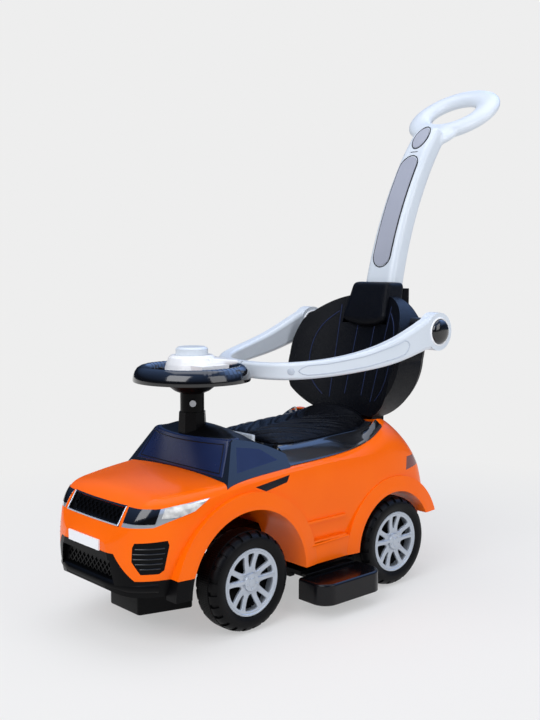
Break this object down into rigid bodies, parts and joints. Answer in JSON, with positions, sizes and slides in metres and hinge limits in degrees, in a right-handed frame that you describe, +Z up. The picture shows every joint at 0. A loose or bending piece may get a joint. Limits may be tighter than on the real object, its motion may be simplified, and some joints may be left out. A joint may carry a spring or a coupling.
{
  "type": "push car with handle",
  "caption": "Toddler ride-on push car with a rear push handle, hinged guard arms, high backrest, storage under the seat and slide-out footrests.",
  "frame": {"origin": "on the floor under the middle of the whole object", "axes": "+Z up, front of the car towards -Y, the left side of the car towards +X"},
  "size_m": [0.374, 0.8951, 0.8802],
  "materials": {
    "body_orange": "glossy moulded plastic, orange",
    "black_gloss": "glossy black plastic",
    "black_matt": "matt black plastic",
    "seat_black": "leather-grained black moulding",
    "pale_grey": "pale blue-grey plastic",
    "white": "white plastic",
    "silver": "silver painted plastic",
    "tyre_black": "black blow-moulded tyre plastic",
    "lamp_clear": "silvered clear lamp",
    "lamp_red": "red lamp",
    "panel_grey": "grey inlay",
    "plate_white": "bare white plate",
    "steel": "zinc-plated steel"
  },
  "bodies": {
    "chassis": {"rear_axle": "steel", "rear_axle_push_nuts": "steel", "body_shell": "body_orange", "headlight_left": "lamp_clear", "headlight_right": "lamp_clear", "fog_vents": "black_matt", "tail_lamps": "lamp_red", "side_vents": "black_gloss", "front_bumper": "black_matt", "number_plate": "plate_white", "grille_frame": "silver", "grille_mesh": "black_matt", "intake_mesh": "black_matt", "quarter_windows": "black_gloss", "windscreen": "black_gloss", "cowl": "black_gloss", "column_sleeve": "black_matt", "chassis_spine": "black_matt", "rear_axle_bushes": "black_matt", "floor_pan": "black_matt", "front_skid": "black_matt", "storage_tub": "black_matt", "seat_hinge_pin": "steel", "seat_hinge_bracket": "black_matt", "push_handle": "pale_grey", "handle_panel": "panel_grey", "handle_badge": "panel_grey", "backrest_front": "seat_black", "backrest_rear": "black_matt", "headrest": "seat_black", "backrest_post": "black_matt", "arm_pivots": "black_matt"},
    "steering": {"column_screw": "steel", "column_rod": "steel", "steering_hub": "black_matt", "steering_wheel": "black_gloss", "horn_cover": "white", "horn_spring": "steel", "front_carrier": "black_matt", "front_axle": "steel", "front_axle_push_nuts": "steel"},
    "horn": {"horn_button": "pale_grey"},
    "seat": {"seat_lid": "black_gloss", "seat_pad": "seat_black", "seat_pull_tab": "pale_grey"},
    "guard_left": {"guard_arm_left": "pale_grey", "guard_cap_left": "black_gloss"},
    "guard_right": {"guard_arm_right": "pale_grey", "guard_cap_right": "black_gloss"},
    "footrest_left": {"footrest_left": "black_matt"},
    "footrest_right": {"footrest_right": "black_matt"},
    "front_left_wheel": {"tyre_front_left": "tyre_black", "wheel_cap_front_left": "silver"},
    "front_right_wheel": {"tyre_front_right": "tyre_black", "wheel_cap_front_right": "silver"},
    "rear_left_wheel": {"tyre_rear_left": "tyre_black", "wheel_cap_rear_left": "silver"},
    "rear_right_wheel": {"tyre_rear_right": "tyre_black", "wheel_cap_rear_right": "silver"}
  },
  "joints": [
    {"name": "steering_turn", "type": "hinge", "parent": "chassis", "child": "steering", "pos_m": [0, -0.246, 0.075], "axis": [0, 0, 1], "range_deg": [-13, 13]},
    {"name": "front_left_wheel_spin", "type": "hinge", "parent": "steering", "child": "front_left_wheel", "pos_m": [0.118, -0.246, 0.075], "axis": [1, 0, 0], "continuous": true},
    {"name": "front_right_wheel_spin", "type": "hinge", "parent": "steering", "child": "front_right_wheel", "pos_m": [-0.118, -0.246, 0.075], "axis": [1, 0, 0], "continuous": true},
    {"name": "rear_left_wheel_spin", "type": "hinge", "parent": "chassis", "child": "rear_left_wheel", "pos_m": [0.118, 0.072, 0.075], "axis": [1, 0, 0], "continuous": true},
    {"name": "rear_right_wheel_spin", "type": "hinge", "parent": "chassis", "child": "rear_right_wheel", "pos_m": [-0.118, 0.072, 0.075], "axis": [1, 0, 0], "continuous": true},
    {"name": "horn_press", "type": "slide", "parent": "steering", "child": "horn", "axis": [0, 0, -1], "range_m": [0, 0.003], "stiffness_N_per_m": 800, "springref_m": -0.0006, "deforming": ["horn_spring"]},
    {"name": "seat_lift", "type": "hinge", "parent": "chassis", "child": "seat", "pos_m": [0, 0.0955, 0.262], "axis": [-1, 0, 0], "range_deg": [0, 20]},
    {"name": "guard_left_swing", "type": "hinge", "parent": "chassis", "child": "guard_left", "pos_m": [0.152, 0.152, 0.425], "axis": [-1, 0, 0], "range_deg": [0, 95]},
    {"name": "guard_right_swing", "type": "hinge", "parent": "chassis", "child": "guard_right", "pos_m": [-0.152, 0.152, 0.425], "axis": [-1, 0, 0], "range_deg": [0, 95]},
    {"name": "footrest_left_slide", "type": "slide", "parent": "chassis", "child": "footrest_left", "axis": [-1, 0, 0], "range_m": [0, 0.045]},
    {"name": "footrest_right_slide", "type": "slide", "parent": "chassis", "child": "footrest_right", "axis": [1, 0, 0], "range_m": [0, 0.045]}
  ]
}
